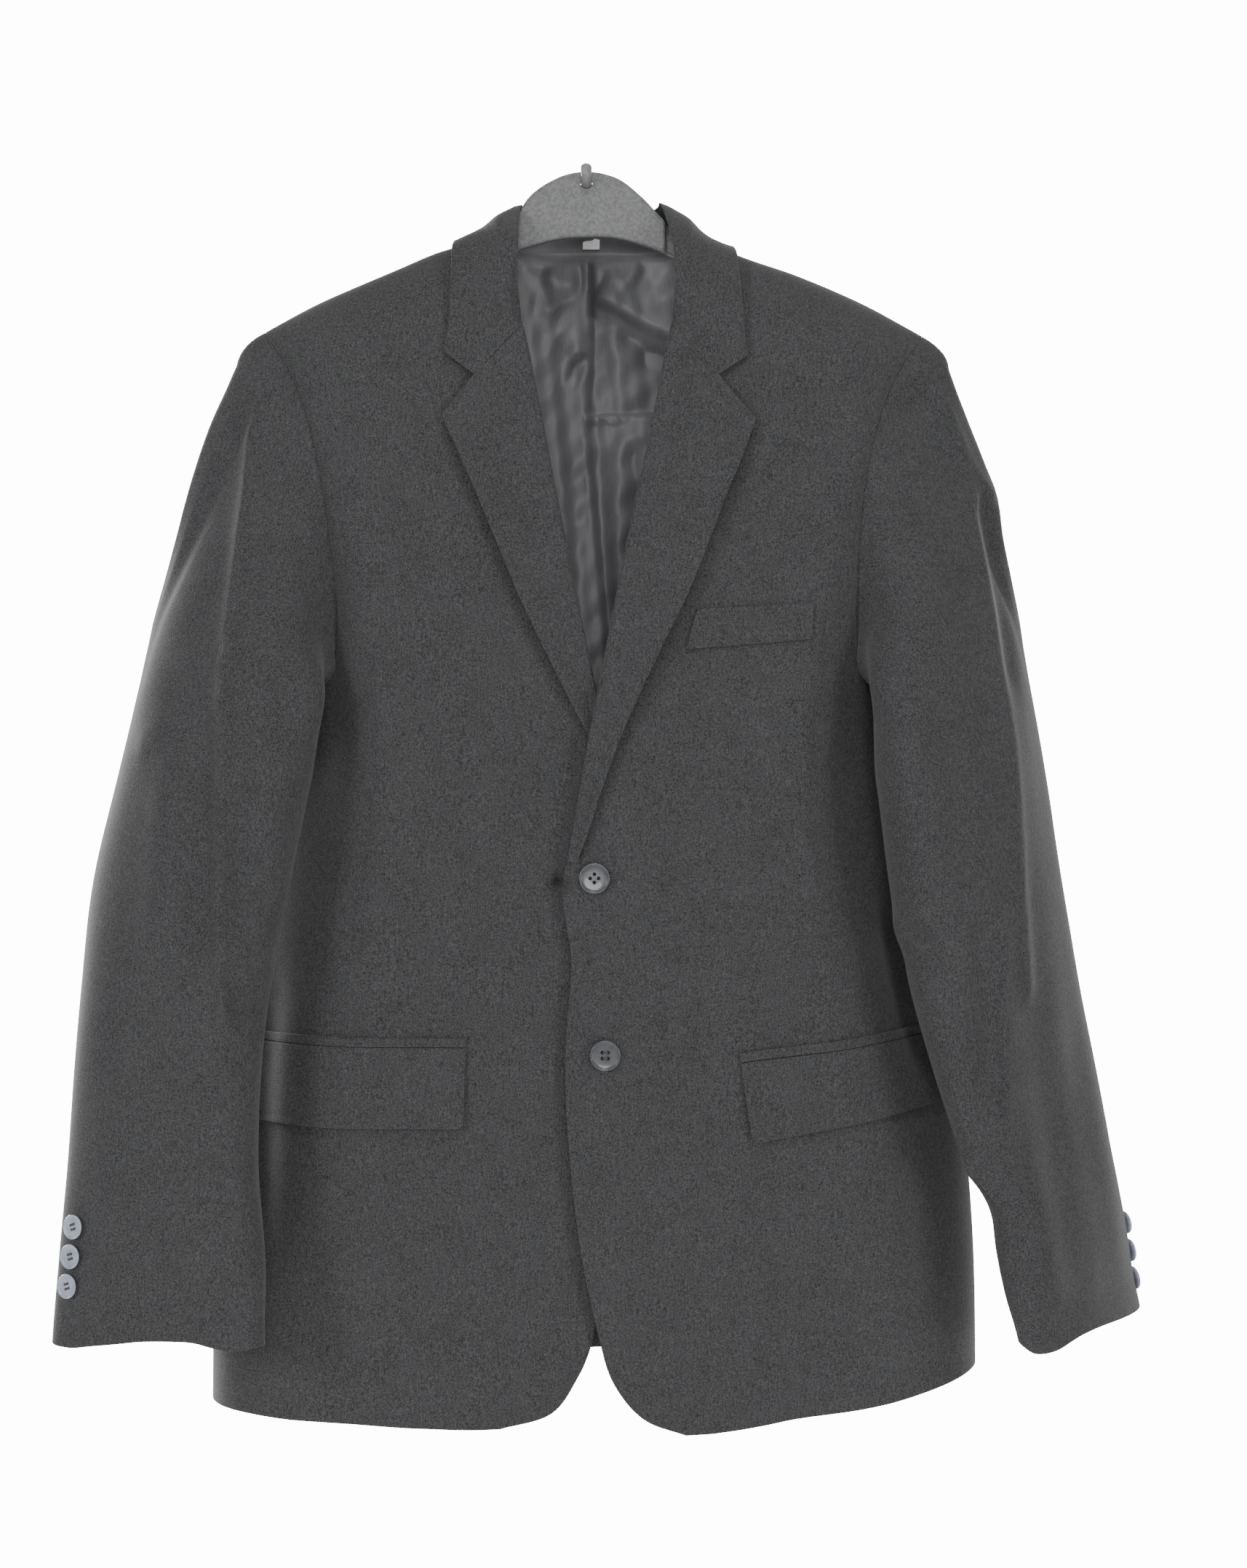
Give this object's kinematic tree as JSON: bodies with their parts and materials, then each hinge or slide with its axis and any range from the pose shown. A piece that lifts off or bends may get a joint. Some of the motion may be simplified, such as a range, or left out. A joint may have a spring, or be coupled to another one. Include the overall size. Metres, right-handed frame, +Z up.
{
  "type": "suit jacket on hanger",
  "caption": "Notch-lapel suit jacket, buttoned front with flap pockets, hanging on a shaped hanger from a small wall hook.",
  "frame": {"origin": "middle of the flat back of the hook's wall plate, where it rests on the wall", "axes": "+Z up; the jacket's front faces -Y; +X to the viewer's right, which is the wearer's left; the wall is the plane y = 0"},
  "size_m": [0.7136, 0.158, 0.8378],
  "materials": {
    "suit_cloth": "matte charcoal wool suiting, fine vertical slub",
    "lining_satin": "dull grey satin lining",
    "button_resin": "semi-gloss dark grey resin",
    "hanger_plastic": "moulded, low sheen",
    "hook_plastic": "moulded, low sheen",
    "label_tape": "woven white tape, bare"
  },
  "bodies": {
    "root": {"back_left": "suit_cloth", "back_right": "suit_cloth", "back_lining": "lining_satin", "breast_welt": "suit_cloth", "collar": "suit_cloth", "cuff_button_left_1": "button_resin", "cuff_button_left_2": "button_resin", "cuff_button_left_3": "button_resin", "cuff_button_right_1": "button_resin", "cuff_button_right_2": "button_resin", "cuff_button_right_3": "button_resin", "flap_left": "suit_cloth", "flap_right": "suit_cloth", "front_button_lower": "button_resin", "front_button_upper": "button_resin", "front_left": "suit_cloth", "front_right": "suit_cloth", "hanger": "hanger_plastic", "jet_left": "suit_cloth", "jet_right": "suit_cloth", "lapel_left": "suit_cloth", "lapel_right": "suit_cloth", "neck_label": "label_tape", "top_sleeve_left": "suit_cloth", "top_sleeve_right": "suit_cloth", "under_sleeve_left": "suit_cloth", "under_sleeve_right": "suit_cloth", "wall_hook": "hook_plastic"}
  },
  "joints": []
}
